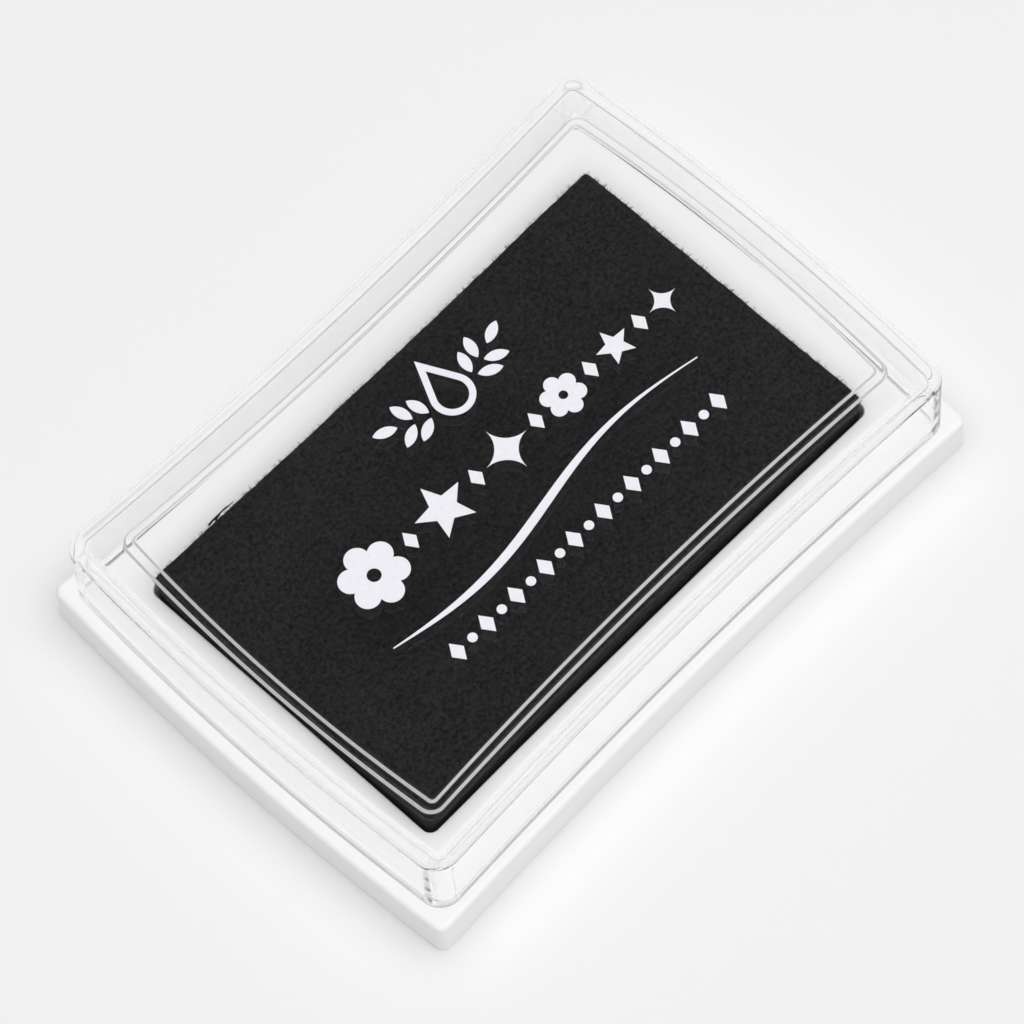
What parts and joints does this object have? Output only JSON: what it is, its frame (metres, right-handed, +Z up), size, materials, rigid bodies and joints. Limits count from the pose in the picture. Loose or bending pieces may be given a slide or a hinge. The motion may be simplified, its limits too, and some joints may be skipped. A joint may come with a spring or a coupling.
{
  "type": "stamp ink pad",
  "caption": "Rectangular craft ink pad: black cloth-covered pad in a white moulded base under a clear lift-off box lid with plain printed ornament.",
  "frame": {"origin": "centre of the underside, on the plane the case rests on", "axes": "+Z up, out of the lid's top; +X along the long side; +Y along the short side, towards the top of the printed decoration"},
  "size_m": [0.076, 0.0528, 0.016],
  "materials": {
    "white_moulding": "white polystyrene, injection moulded, semi-gloss",
    "tape": "double-sided foam tape",
    "board": "grey board",
    "foam": "open-cell foam soaked with black ink",
    "inked_cloth": "fine cloth saturated with black ink",
    "clear_moulding": "clear polystyrene, injection moulded, polished",
    "print_ink": "white screen-printing ink",
    "label_paper": "coated paper sticker"
  },
  "bodies": {
    "base": {"base_tray": "white_moulding", "pad_tape": "tape", "backing_board": "board", "foam_core": "foam", "pad_cloth": "inked_cloth", "underside_label": "label_paper"},
    "lid": {"lid": "clear_moulding", "print_emblem": "print_ink", "print_ornaments": "print_ink", "print_rule": "print_ink", "print_dots": "print_ink"}
  },
  "joints": [
    {"name": "lid_lift", "type": "slide", "parent": "base", "child": "lid", "axis": [0, 0, 1], "range_m": [0, 0.03]}
  ]
}
